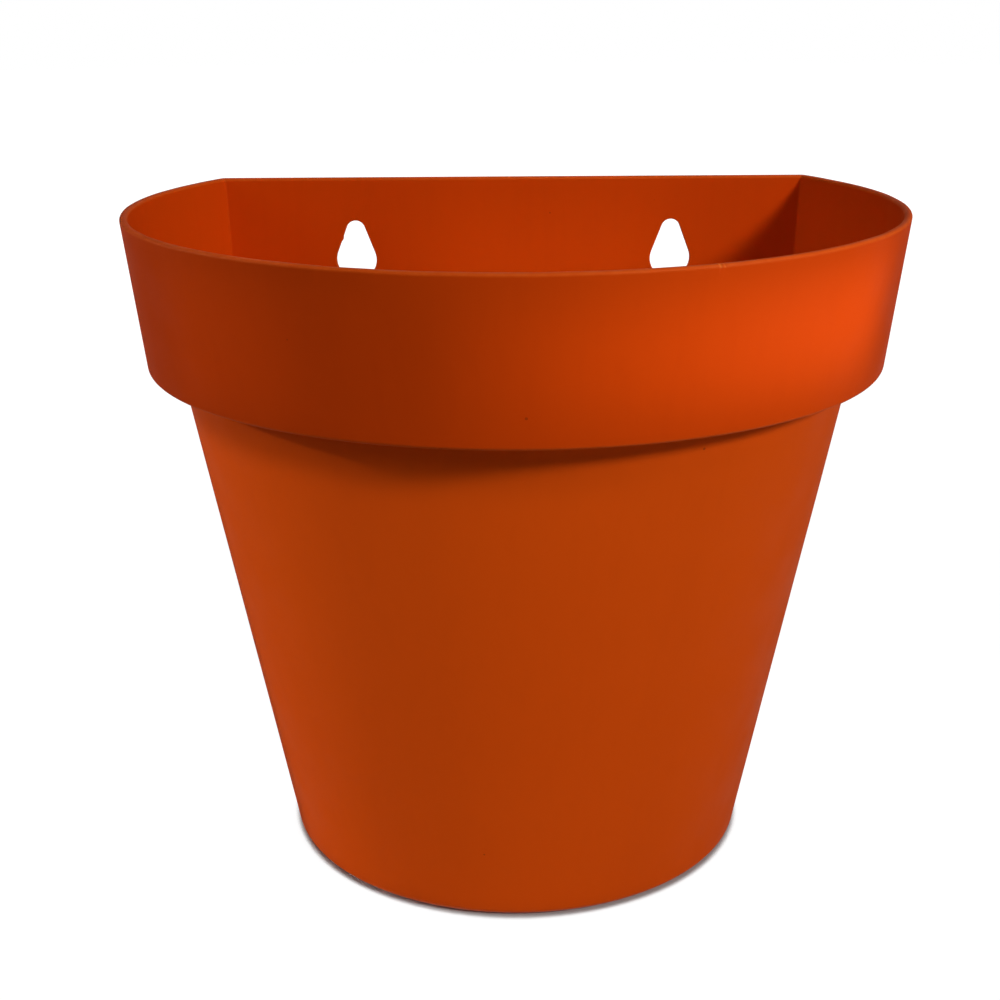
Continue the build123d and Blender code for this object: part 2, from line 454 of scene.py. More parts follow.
@dataclass(frozen=True)
class MouldedFinish:
    """A moulded plastic or rubber: colour, gloss and skin, with highlights painted on its rounded edges
    and, where set, a painted lighter tone below a level.
    """

    name: str
    color: Color
    deep: Color
    rubbed_and_highlight: Color
    fleck: Color
    dust: Color = (0.43, 0.28, 0.17, 1.0)
    roughness: float = 0.52
    roughness_drift: float = 0.06
    specular: float = 0.025
    drift: float = 0.3
    streak: float = 0.2
    rub_and_highlight_amount: float = 0.9
    rub_patches: float = 0.35
    rub_roughness: float = 0.34
    fleck_size: float = 0.035
    fleck_depth: float = 0.5
    dust_amount: float = 0.12
    dust_roughness: float = 0.4
    grain_per_metre: float = 3200.0
    grain_height: float = 0.05
    ripple_per_metre: float = 60.0
    ripple_height: float = 0.6
    relief: float = 0.06 * MM
    uneven_range: Span = (0.35, 0.65)
    # painted light: a lighter tone painted below a level, standing in for extra light on the body
    painted_body_light: PaintedBodyLight | None = None

    def make(self, effects: Effects) -> bpy.types.Material:
        """Builds the material.

        Args:
            effects: the shared groups.

        Returns:
            The material.
        """
        material = bpy.data.materials.new(self.name)
        material.use_nodes = True
        g = Graph(material.node_tree)
        g.tree.nodes.clear()
        shader = g.add("BsdfPrincipled")
        g.feed(g.add("OutputMaterial").inputs["Surface"], shader.outputs["BSDF"])
        shader.inputs["Specular IOR Level"].default_value = self.specular

        color, deep = self.color, self.deep
        # painted light: the body below the collar foot gets a lighter painted tone
        if self.painted_body_light:
            share = self.painted_body_light.share(g)
            color = g.mix_color(share, color, self.painted_body_light.color)
            deep = g.mix_color(share, deep, self.painted_body_light.deep)
        tone = effects.tone.place_in(g, Color=color, Deep=deep, Drift=self.drift, Streak=self.streak)
        edge = g.add("Attribute", attribute_name=EDGE_WEAR_AND_HIGHLIGHT).outputs["Fac"]
        rubbing_and_highlight = effects.rub_and_highlight.place_in(g, Edge=edge, Amount=self.rub_and_highlight_amount, Patches=self.rub_patches)
        rub_and_highlight = rubbing_and_highlight.outputs["Mask"]
        flecks = effects.flecks.place_in(g, Size=self.fleck_size).outputs["Mask"]
        dust = effects.dust.place_in(g, Amount=self.dust_amount).outputs["Mask"]
        skin = effects.skin.place_in(
            g, Grain_per_metre=self.grain_per_metre, Grain_height=self.grain_height,
            Ripple_per_metre=self.ripple_per_metre, Ripple_height=self.ripple_height)

        # rubbed wear, plus painted highlights on the rounded edges and painted glints in the nicks
        color = g.mix_color(rub_and_highlight, tone.outputs["Color"], self.rubbed_and_highlight)
        color = g.mix_color(g.math("MULTIPLY", flecks, self.fleck_depth), color, self.fleck)
        g.feed(shader.inputs["Base Color"], g.mix_color(dust, color, self.dust))

        low, high = self.roughness - self.roughness_drift, self.roughness + self.roughness_drift
        rough = g.remap(skin.outputs["Unevenness"], self.uneven_range, (low, high))
        worn = g.math("MULTIPLY", rub_and_highlight, self.rub_roughness - self.roughness)
        dusty = g.math("MULTIPLY", dust, self.dust_roughness)
        g.feed(shader.inputs["Roughness"], g.math("ADD", g.math("ADD", rough, worn), dusty, clamp=True))

        bump = g.add("Bump")
        bump.inputs["Strength"].default_value = 1.0
        bump.inputs["Distance"].default_value = self.relief
        g.feed(bump.inputs["Height"], skin.outputs["Height"])
        g.feed(shader.inputs["Normal"], bump.outputs["Normal"])
        return material


POT_FINISH = MouldedFinish(
    name="satin_terracotta_orange",
    color=(0.64, 0.056, 0.001, 1.0),
    deep=(0.60, 0.050, 0.001, 1.0),
    # rubbed wear and painted edge highlight colour
    rubbed_and_highlight=(0.82, 0.18, 0.025, 1.0),
    fleck=(0.16, 0.02, 0.004, 1.0),
    # painted light: the lighter body tone below the collar foot stands in for extra light on the body
    painted_body_light=PaintedBodyLight(color=(0.71, 0.079, 0.0025, 1.0), deep=(0.67, 0.072, 0.002, 1.0), level=-26.7 * MM),
)
GRID_FINISH = MouldedFinish(
    name="satin_dark_terracotta",
    color=(0.40, 0.055, 0.008, 1.0),
    deep=(0.31, 0.04, 0.006, 1.0),
    # rubbed wear and painted edge highlight colour
    rubbed_and_highlight=(0.52, 0.11, 0.03, 1.0),
    fleck=(0.10, 0.02, 0.006, 1.0),
    dust_amount=0.22,
)
PLUG_FINISH = MouldedFinish(
    name="matt_grey_rubber",
    color=(0.05, 0.045, 0.04, 1.0),
    deep=(0.035, 0.032, 0.03, 1.0),
    # rubbed wear and painted edge highlight colour
    rubbed_and_highlight=(0.12, 0.11, 0.10, 1.0),
    fleck=(0.02, 0.02, 0.02, 1.0),
    roughness=0.72,
    rub_roughness=0.6,
    grain_height=0.8,
)


# Meshes


def smooth(share: float) -> float:
    """A smooth step from 0 to 1."""
    held = min(max(share, 0.0), 1.0)
    return held * held * (3 - 2 * held)


def quarter(start: float, end: float, steps: int) -> list[Point]:
    """Cosine and sine at even angles from start to end, both in quarter turns."""
    angles = [(start + (end - start) * step / steps) * pi / 2 for step in range(steps + 1)]
    return [(cos(angle), sin(angle)) for angle in angles]


def rounding(radius: float, start: float, end: float, steps: int = BREAK_STEPS) -> list[Point]:
    """How far a rounded edge lies from its sharp corner, across and in height.

    Args:
        radius: the edge's radius.
        start: where it starts, 0 on its upright side and 1 on its level side.
        end: where it ends.
        steps: steps along it.

    Returns:
        The pairs, in order.
    """
    return [(radius * (1 - across), radius * (1 - up)) for across, up in quarter(start, end, steps)]


def between(low: float, high: float, share: float) -> float:
    """The number at a share of the way from low to high."""
    return low + (high - low) * share


def bell(place: float, middle: float, width: float) -> float:
    """A bell curve with a height of 1."""
    return exp(-(((place - middle) / width) ** 2))


def circle(x: float, y: float, radius: float, steps: int) -> list[Point]:
    """Points round a circle."""
    turns = [2 * pi * step / steps for step in range(steps)]
    return [(x + radius * cos(turn), y + radius * sin(turn)) for turn in turns]


def rounded_bar(x: float, y: float, width: float, depth: float, corner: float,
                steps: int = 4) -> list[Point]:
    """Points round a bar with rounded corners.

    Args:
        x: its middle across.
        y: its middle in depth.
        width: its size across.
        depth: its size in depth.
        corner: the corners' radius.
        steps: steps along each corner.

    Returns:
        The points, anticlockwise from the right side.
    """
    points = []
    for turn, (side, end) in enumerate(((1, 1), (-1, 1), (-1, -1), (1, -1))):
        corner_x = x + side * (width / 2 - corner)
        corner_y = y + end * (depth / 2 - corner)
        for across, out in quarter(turn, turn + 1, steps):
            points.append((corner_x + corner * across, corner_y + corner * out))
    return points


class Shell:
    """A closed skin put together from rings of points, strips between them and flat faces."""

    def __init__(self, foot_level: float) -> None:
        """Starts an empty skin.

        Args:
            foot_level: where the pot's foot lies in the frame. Levels count from it.
        """
        self.mesh = bmesh.new()
        self.knock_glints = self.mesh.verts.layers.float.new(KNOCK_GLINTS)
        self.foot_level = foot_level

    def ring(self, points: list[Point], level: float) -> Ring:
        """Adds points at a level."""
        return [self.mesh.verts.new((x, y, level + self.foot_level)) for x, y in points]

    def round_ring(self, x: float, y: float, radius: float, level: float, steps: int) -> Ring:
        """Adds points round a circle at a level."""
        return self.ring(circle(x, y, radius, steps), level)

    def upright_ring(self, points: list[Point], y: float) -> Ring:
        """Adds points on an upright plane that faces the wall."""
        return [self.mesh.verts.new((x, y, level + self.foot_level)) for x, level in points]

    def strip(self, first: Ring, second: Ring, closed: bool = True) -> None:
        """Joins two rings of the same length by four-sided faces.

        Args:
            first: one ring.
            second: the other.
            closed: whether they run all the way round.
        """
        for index in range(len(first) if closed else len(first) - 1):
            after = (index + 1) % len(first)
            self.mesh.faces.new((first[index], first[after], second[after], second[index]))

    def strips(self, rings: list[Ring]) -> None:
        """Joins each ring to the next."""
        for first, second in zip(rings, rings[1:]):
            self.strip(first, second)

    def flat(self, *loops: Ring) -> None:
        """Fills the flat face between an outer loop and the loops of its holes."""
        edges = []
        for loop in loops:
            for first, second in zip(loop, loop[1:] + loop[:1]):
                edges.append(self.mesh.edges.get((first, second)) or self.mesh.edges.new((first, second)))
        bmesh.ops.triangle_fill(self.mesh, use_beauty=True, edges=edges)

    def bore(self, x: float, y: float, radius: float, levels: Span, edge: float,
             steps: int) -> tuple[Ring, Ring]:
        """A round hole with broken edges.

        Args:
            x: its axis across.
            y: its axis in depth.
            radius: its radius.
            levels: the lower and the upper face that it joins.
            edge: radius of the broken edges.
            steps: points round it.

        Returns:
            The loops in the lower and in the upper face.
        """
        low, high = levels
        rings = []
        for out, up in rounding(edge, 1, 0):
            rings.append(self.round_ring(x, y, radius + out, low + up, steps))
        for out, down in rounding(edge, 0, 1):
            rings.append(self.round_ring(x, y, radius + out, high - down, steps))
        self.strips(rings)
        return rings[0], rings[-1]

    def mark_edges(self, least_bend: float = 0.06, full_bend: float = 0.26,
                   most: float = 0.3) -> None:
        """Writes how far each face belongs to a rounded edge, which is where the skin gets rubbed and
        where a highlight is painted.

        Args:
            least_bend: faces whose second sharpest side bends less than this count as plain skin.
            full_bend: the bend that counts as a full edge.
            most: the mask of a full edge. Only the glints painted at the knocks have more.
        """
        edge_wear_and_highlight = self.mesh.faces.layers.float.new(EDGE_WEAR_AND_HIGHLIGHT)
        for face in self.mesh.faces:
            bend = sorted(edge.calc_face_angle_signed(0.0) for edge in face.edges)[-2]
            rounded = smooth((bend - least_bend) / (full_bend - least_bend))
            knock_glint = sum(vertex[self.knock_glints] for vertex in face.verts) / len(face.verts)
            # rubbed wear and painted highlight on rounded edges, painted glints at the knocks
            face[edge_wear_and_highlight] = max(most * rounded, knock_glint)

    def piece(self, name: str, crease: float = radians(40)) -> bpy.types.Object:
        """Turns the skin into an object with smooth shading.

        Args:
            name: the object's name.
            crease: edges that bend more than this stay sharp.

        Returns:
            The object, linked to the scene.
        """
        bmesh.ops.recalc_face_normals(self.mesh, faces=self.mesh.faces)
        self.mark_edges()
        mesh = bpy.data.meshes.new(name)
        self.mesh.to_mesh(mesh)
        self.mesh.free()
        mesh.shade_smooth()
        mesh.set_sharp_from_angle(angle=crease)
        made = bpy.data.objects.new(name, mesh)
        bpy.context.scene.collection.objects.link(made)
        weighted = made.modifiers.new("weighted_normals", "WEIGHTED_NORMAL")
        weighted.keep_sharp = True
        return made


# The pot


@dataclass(frozen=True)
class Outline:
    """One level of a skin: a circle that a back plane cuts off, with rounded back corners."""

    level: float
    radius: float
    centre: float
    back: float
    corner: float
    closed: bool = False

    @property
    def corner_place(self) -> Point:
        """The right back corner's centre, seen from the circle's centre."""
        corner_y = self.centre - self.back - self.corner
        return sqrt((self.radius - self.corner) ** 2 - corner_y**2), corner_y

    def front(self, corner_steps: int, shares: list[float]) -> list[Point]:
        """Points from the right end of the back round the front to its left end.

        Args:
            corner_steps: steps along each rounded corner.
            shares: where the points lie on the right half of the front, from its corner to its middle.

        Returns:
            The points.
        """
        corner_x, corner_y = self.corner_place
        turn = atan2(corner_y, corner_x)
        right = []
        for step in range(corner_steps):
            angle = pi / 2 + (turn - pi / 2) * step / corner_steps
            y = corner_y + self.corner * sin(angle) - self.centre
            right.append((corner_x + self.corner * cos(angle), y))
        for share in shares:
            angle = turn + (-pi / 2 - turn) * share
            right.append((self.radius * cos(angle), self.radius * sin(angle) - self.centre))
        return right + [(-x, y) for x, y in reversed(right[:-1])]

    def rear(self, steps: int) -> list[Point]:
        """Points strictly between the left and the right end of the straight back."""
        end = self.corner_place[0]
        return [(-end + 2 * end * step / steps, -self.back) for step in range(1, steps)]

    def round(self, corner_steps: int, front_steps: int, rear_steps: int) -> list[Point]:
        """Points all the way round.

        Args:
            corner_steps: steps along each rounded corner.
            front_steps: steps along the front.
            rear_steps: steps along the back.

        Returns:
            The points, from the right end of the back.
        """
        half = front_steps // 2
        shares = [step / half for step in range(half + 1)]
        return self.front(corner_steps, shares) + self.rear(rear_steps)


@dataclass
class WallPot:
    """The pot as one moulding: its skin, keyholes, drain holes and standing ring."""

    height: float = 200.0 * MM
    rim_width: float = 218.0 * MM
    rim_centre: float = 58.8 * MM
    collar_height: float = 43.2 * MM
    collar_taper: float = 3.8 * MM
    collar_step: float = 8.8 * MM
    step_centre: float = 54.0 * MM
    base_width: float = 142.2 * MM
    base_centre: float = 36.5 * MM
    wall: float = 2.2 * MM
    floor_thickness: float = 2.4 * MM
    body_corner: float = 3.4 * MM
    collar_corner: float = 1.6 * MM
    inner_corner: float = 0.9 * MM
    lip_radius: float = 0.99 * MM
    foot_radius: float = 1.0 * MM
    base_radius: float = 2.6 * MM
    gutter_radius: float = 0.77 * MM
    ring_width: float = 7.0 * MM
    foot_recess: float = 3.5 * MM
    recess_corner: float = 3.0 * MM
    edge: float = 0.3 * MM
    ledge_edge: float = 0.4 * MM
    keyhole_spacing: float = 100.0 * MM
    seat_diameter: float = 6.0 * MM
    seat_below_lip: float = 16.5 * MM
    entry_diameter: float = 12.7 * MM
    entry_below_seat: float = 9.4 * MM
    burr_height: float = 0.35 * MM
    burr_share: float = 0.55
    burr_reach_share: float = 0.09
    drain_diameter: float = 10.0 * MM
    side_across_share: float = 0.45
    side_out_share: float = 0.36
    front_out_share: float = 0.72
    gate_diameter: float = 9.0 * MM
    gate_depth: float = 0.7 * MM
    nub_diameter: float = 3.2 * MM
    nub_height: float = 0.5 * MM
    nub_edge: float = 0.2 * MM
    nick_shares: tuple[float, ...] = (0.7945, 0.7985, 0.8)
    nick_step_share: float = 0.0007
    nick_steps: int = 4
    nick_width_share: float = 0.001
    nick_depth: float = 0.22 * MM
    sway: float = 0.045 * MM
    sway_length: float = 34.0 * MM
    sway_fade: float = 14.0 * MM
    lip_sway: float = 0.06 * MM
    lip_sway_length: float = 9.0 * MM
    lip_sway_reach: float = 3.0 * MM
    rounding_steps: int = 6
    lip_steps: int = 5
    gutter_steps: int = 4
    seat_steps: int = 24
    entry_steps: int = 36
    flank_steps: int = 16
    corner_steps: int = 6
    front_steps: int = 232
    rear_steps: int = 72
    hole_steps: int = 40
    level_step: float = 4.0 * MM

    @property
    def collar_foot(self) -> float:
        """Level of the collar's lower edge above the foot."""
        return self.height - self.collar_height

    @property
    def ledge(self) -> float:
        """Level of the ledge inside the collar."""
        return self.collar_foot + self.wall

    @property
    def floor_top(self) -> float:
        """Level of the raised floor inside the pot."""
        return self.foot_recess + self.floor_thickness

    @property
    def base_depth(self) -> float:
        """How far the foot stands out from the wall."""
        return self.base_centre + self.base_width / 2

    @property
    def seat_level(self) -> float:
        """Level of the keyholes' seats."""
        return self.height - self.seat_below_lip

    def body_section(self, level: float) -> Point:
        """The circle of the tapered body at a level.

        Args:
            level: height above the foot.

        Returns:
            Its radius, and how far its centre stands out.
        """
        share = level / self.collar_foot
        low = self.base_width / 2
        high = self.rim_width / 2 - self.collar_taper - self.collar_step
        return between(low, high, share), between(self.base_centre, self.step_centre, share)

    def collar_section(self, level: float) -> Point:
        """The circle of the collar at a level.

        Args:
            level: height above the foot.

        Returns:
            Its radius, and how far its centre stands out.
        """
        share = (level - self.collar_foot) / self.collar_height
        low = self.rim_width / 2 - self.collar_taper
        high = self.rim_width / 2
        return between(low, high, share), between(self.step_centre, self.rim_centre, share)

    def drain_places(self) -> dict[Body, Point]:
        """Where the drain holes lie.

        Returns:
            Each hole's centre, by the plug that stops it.
        """
        side_x = self.base_width / 2 * self.side_across_share
        side_y = -self.base_depth * self.side_out_share
        return {
            Body.PLUG_LEFT: (-side_x, side_y),
            Body.PLUG_RIGHT: (side_x, side_y),
            Body.PLUG_FRONT: (0.0, -self.base_depth * self.front_out_share),
        }

    def levels(self, start: float, end: float) -> list[float]:
        """Even levels from start to end, both included."""
        count = max(1, round(abs(end - start) / self.level_step))
        return [start + (end - start) * step / count for step in range(count + 1)]

    def inset_outline(self, section: Point, level: float, inset: float, corner: float) -> Outline:
        """A closed outline, drawn in by inset all round."""
        return Outline(level, section[0] - inset, section[1], inset, corner, closed=True)

    def underside(self) -> list[Outline]:
        """From the recess under the floor over the standing ring to the rounded base.

        Returns:
            The outlines, in order.
        """
        base = self.body_section(0)
        made = [self.inset_outline(base, self.foot_recess, self.ring_width, self.recess_corner)]
        for out, level in rounding(self.edge, 0, 1):
            made.append(self.inset_outline(base, level, self.ring_width - out, self.recess_corner))
        for inset, level in rounding(self.base_radius, 1, 0, self.rounding_steps):
            made.append(self.inset_outline(self.body_section(level), level, inset, self.body_corner))
        return made

    def outside(self) -> list[Outline]:
        """From the rounded base up the body, out under the collar and up to the lip.

        Returns:
            The outlines, in order.
        """
        made = []
        for level in self.levels(self.base_radius, self.collar_foot)[1:]:
            radius, centre = self.body_section(level)
            made.append(Outline(level, radius, centre, 0.0, self.body_corner))
        body_circle = made[-1].radius
        foot_circle, centre = self.collar_section(self.collar_foot)
        reach = foot_circle - self.foot_radius - body_circle
        for share in (0.5, 1.0):
            corner = between(self.body_corner, self.collar_corner, share)
            made.append(Outline(self.collar_foot, body_circle + reach * share, centre, 0.0, corner))
        for inset, up in rounding(self.foot_radius, 1, 0, self.rounding_steps)[1:]:
            level = self.collar_foot + up
            radius, centre = self.collar_section(level)
            made.append(Outline(level, radius - inset, centre, 0.0, self.collar_corner))
        start = self.collar_foot + self.foot_radius
        for level in self.levels(start, self.height - self.lip_radius)[1:-1]:
            radius, centre = self.collar_section(level)
            made.append(Outline(level, radius, centre, 0.0, self.collar_corner))
        return made

    def lip(self) -> list[Outline]:
        """Over the rounded lip, from outside to inside.

        Returns:
            The outlines, in order.
        """
        made = []
        for inset, fall in rounding(self.lip_radius, 0, 1, self.lip_steps):
            level = self.height - fall
            made.append(self.inset_outline(self.collar_section(level), level, inset, self.collar_corner))
        for out, fall in rounding(self.lip_radius, 1, 0, self.lip_steps):
            level = self.height - fall
            inset = self.wall - out
            made.append(self.inset_outline(self.collar_section(level), level, inset, self.inner_corner))
        return made

    def inner_outline(self, section: Point, level: float, inset: float) -> Outline:
        """An open outline whose ends lie on the inner back wall."""
        return Outline(level, section[0] - inset, section[1], self.wall, self.inner_corner)

    def inside(self) -> list[Outline]:
        """From the lip down the collar, in over the ledge and down the body to the gutter.

        Returns:
            The outlines, in order.
        """
        made = []
        for level in self.levels(self.height - self.lip_radius, self.ledge)[1:]:
            made.append(self.inner_outline(self.collar_section(level), level, self.wall))
        body_circle, centre = self.body_section(self.ledge)
        ledge_in = body_circle - self.wall + self.ledge_edge
        middle = (made[-1].radius + ledge_in) / 2
        made.append(self.inner_outline((middle, centre), self.ledge, 0.0))
        for out, fall in rounding(self.ledge_edge, 1, 0):
            level = self.ledge - fall
            made.append(self.inner_outline(self.body_section(level), level, self.wall - out))
        bottom = self.floor_thickness + self.gutter_radius
        for level in self.levels(self.ledge - self.ledge_edge, bottom)[1:-1]:
            made.append(self.inner_outline(self.body_section(level), level, self.wall))
        return made

    def gutter(self) -> list[Outline]:
        """From the inner wall round the gutter and up to the edge of the raised floor.

        Returns:
            The outlines, in order.
        """
        made = []
        for across, up in rounding(self.gutter_radius, 0, 1, self.gutter_steps):
            level = self.floor_thickness + up
            inset = self.wall + across
            made.append(self.inset_outline(self.body_section(level), level, inset, self.inner_corner))
        base = self.body_section(0)
        rise = self.ring_width - self.wall
        made.append(self.inset_outline(base, self.floor_thickness, rise, self.recess_corner))
        for across, fall in rounding(self.edge, 0, 1):
            outline = self.inset_outline(base, self.floor_top - fall, rise + across, self.recess_corner)
            made.append(outline)
        return made

    def settle(self, vertex: bmesh.types.BMVert, centre: float, foot_level: float) -> None:
        """Moves a skin point in by the wall's slight unevenness, most on the front, none on the back.

        Args:
            vertex: the point.
            centre: how far the circle's centre stands out from the wall.
            foot_level: where the pot's foot lies in the frame.
        """
        out = Vector((vertex.co.x, vertex.co.y + centre, 0.0)).normalized()
        level = vertex.co.z - foot_level
        fade = smooth(-vertex.co.y / self.sway_fade) * smooth(level / self.sway_fade)
        probe = out * (self.rim_width / 2) + Vector((0.0, 0.0, level))
        dent = self.sway * (1 + noise.noise(probe / self.sway_length)) * fade
        near_lip = smooth((level - self.height + self.lip_sway_reach) / self.lip_sway_reach)
        drop = self.lip_sway * (1 + noise.noise(probe / self.lip_sway_length)) * fade * near_lip
        vertex.co += Vector((-out.x * dent, -out.y * dent, -drop))

    def nick_lip(self, shell: Shell, ring: Ring, outline: Outline, shares: list[float]) -> None:
        """Dents a ring of the lip's outer edge at the nicks and marks them for a glint painted in the
        lighter rubbed colour.

        Args:
            shell: the skin.
            ring: the ring's points.
            outline: the ring's outline.
            shares: where the points lie along the right half of the front.
        """
        for share, vertex in zip(shares, ring[self.corner_steps:]):
            depth = sum(bell(share, nick, self.nick_width_share) for nick in self.nick_shares)
            out = Vector((vertex.co.x, vertex.co.y + outline.centre, 0.0)).normalized()
            vertex.co -= (out + Vector((0.0, 0.0, 1.0))) * self.nick_depth * depth / 2
            # painted glint: the nick's mark lightens it to the rubbed colour
            vertex[shell.knock_glints] = min(depth, 1.0)

    def keyhole(self, across: float, grow: float, burr: float) -> list[Point]:
        """Outline of one teardrop keyhole.

        Args:
            across: its middle.
            grow: how far the outline is let out all round.
            burr: height of the moulding flash on its left flank.

        Returns:
            Points across and up, from the seat's left end over its top and round.
        """
        seat = self.seat_diameter / 2 + grow
        entry = self.entry_diameter / 2 + grow
        lean = asin((entry - seat) / self.entry_below_seat)
        entry_level = self.seat_level - self.entry_below_seat
        points = []
        for step in range(self.seat_steps + 1):
            turn = pi - lean - (pi - 2 * lean) * step / self.seat_steps
            points.append((across + seat * cos(turn), self.seat_level + seat * sin(turn)))
        for step in range(self.entry_steps + 1):
            turn = lean - (pi + 2 * lean) * step / self.entry_steps
            points.append((across + entry * cos(turn), entry_level + entry * sin(turn)))
        seat_end, entry_end = Vector(points[0]), Vector(points[-1])
        inward = Vector((cos(lean), -sin(lean)))
        for step in range(1, self.flank_steps):
            share = step / self.flank_steps
            swell = burr * bell(share, self.burr_share, self.burr_reach_share)
            place = entry_end.lerp(seat_end, share) + inward * swell
            points.append((place.x, place.y))
        return points

    def cut_keyhole(self, shell: Shell, across: float, burr: float) -> tuple[Ring, Ring]:
        """Adds the rim of one keyhole through the back wall.

        Args:
            shell: the skin.
            across: the keyhole's middle.
            burr: height of the flash on its left flank.

        Returns:
            The loops in the outer and in the inner face of the back wall.
        """
        rings = []
        for along, down in quarter(1, 0, BREAK_STEPS):
            outline = self.keyhole(across, self.edge * (1 - along), 0.0)
            rings.append(shell.upright_ring(outline, -self.edge * (1 - down)))
        for along, up in quarter(0, 1, BREAK_STEPS):
            outline = self.keyhole(across, self.edge * (1 - along), burr * along)
            rings.append(shell.upright_ring(outline, -self.wall + self.edge * (1 - up)))
        shell.strips(rings)
        return rings[0], rings[-1]

    def gate_mark(self, shell: Shell) -> Ring:
        """Adds the gate's dimple and trimmed nub under the floor.

        Args:
            shell: the skin.

        Returns:
            The dimple's rim.
        """
        y = -self.base_depth / 2
        dimple = self.gate_diameter / 2
        nub = self.nub_diameter / 2
        top = self.foot_recess + self.gate_depth
        profile = [(dimple + out, self.foot_recess + up) for out, up in rounding(self.edge, 1, 0)]
        profile += [(dimple, top), (nub, top)]
        nub_foot = top - self.nub_height
        profile += [(nub - less, nub_foot + up) for less, up in rounding(self.nub_edge, 0, 1)]
        rings = [shell.round_ring(0, y, radius, level, self.hole_steps) for radius, level in profile]
        shell.strips(rings)
        shell.flat(rings[-1])
        return rings[0]

    def front_shares(self) -> list[float]:
        """Where the skin's points lie along the right half of the front, closer near the nicks.

        Returns:
            Shares of the way from the corner to the middle.
        """
        half = self.front_steps // 2
        shares = {step / half for step in range(half + 1)}
        for nick in self.nick_shares:
            steps = range(-self.nick_steps, self.nick_steps + 1)
            shares |= {nick + step * self.nick_step_share for step in steps}
        return sorted(shares)

    def build(self) -> bpy.types.Object:
        """Builds the whole pot.

        Returns:
            The pot.
        """
        foot_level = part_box("pot_body")[0].z
        shell = Shell(foot_level)
        shares = self.front_shares()
        parts = [self.underside(), self.outside(), self.lip(), self.inside(), self.gutter()]
        outer_lip = parts[2][1:len(parts[2]) // 2]
        fronts, rears = [], []
        for outline in [outline for part in parts for outline in part]:
            fronts.append(shell.ring(outline.front(self.corner_steps, shares), outline.level))
            points = outline.rear(self.rear_steps) if outline.closed else []
            rears.append(shell.ring(points, outline.level))
            for vertex in fronts[-1]:
                self.settle(vertex, outline.centre, foot_level)
            if outline in outer_lip:
                self.nick_lip(shell, fronts[-1], outline, shares)
        for index in range(len(fronts) - 1):
            if rears[index] and rears[index + 1]:
                shell.strip(fronts[index] + rears[index], fronts[index + 1] + rears[index + 1])
            else:
                shell.strip(fronts[index], fronts[index + 1], closed=False)

        burrs = ((-1, self.burr_height), (1, 0.0))
        half = self.keyhole_spacing / 2
        keyholes = [self.cut_keyhole(shell, side * half, burr) for side, burr in burrs]
        ends = [0]
        for part in parts:
            ends.append(ends[-1] + len(part))
        outer = self.back_loop(fronts, rears, ends[1] - 1, ends[2])
        inner = self.back_loop(fronts, rears, ends[3] - 1, ends[4])
        shell.flat(outer, *[loops[0] for loops in keyholes])
        shell.flat(inner, *[loops[1] for loops in keyholes])

        radius = self.drain_diameter / 2
        faces = (self.foot_recess, self.floor_top)
        places = self.drain_places().values()
        drains = [shell.bore(x, y, radius, faces, self.edge, self.hole_steps) for x, y in places]
        shell.flat(fronts[0] + rears[0], self.gate_mark(shell), *[loops[0] for loops in drains])
        shell.flat(fronts[-1] + rears[-1], *[loops[1] for loops in drains])
        return shell.piece("pot")

    def back_loop(self, fronts: list[Ring], rears: list[Ring], first: int, last: int) -> Ring:
        """The loop round a flat back face, between two closed outlines.

        Args:
            fronts: each outline's points round the front.
            rears: each closed outline's points along the back.
            first: index of the closed outline that it starts at.
            last: index of the closed outline that it ends at.

        Returns:
            The loop.
        """
        right = [fronts[index][0] for index in range(first, last + 1)]
        left = [fronts[index][-1] for index in range(last, first - 1, -1)]
        return right + rears[last][::-1] + left + rears[first]


# The drain grid and the plugs


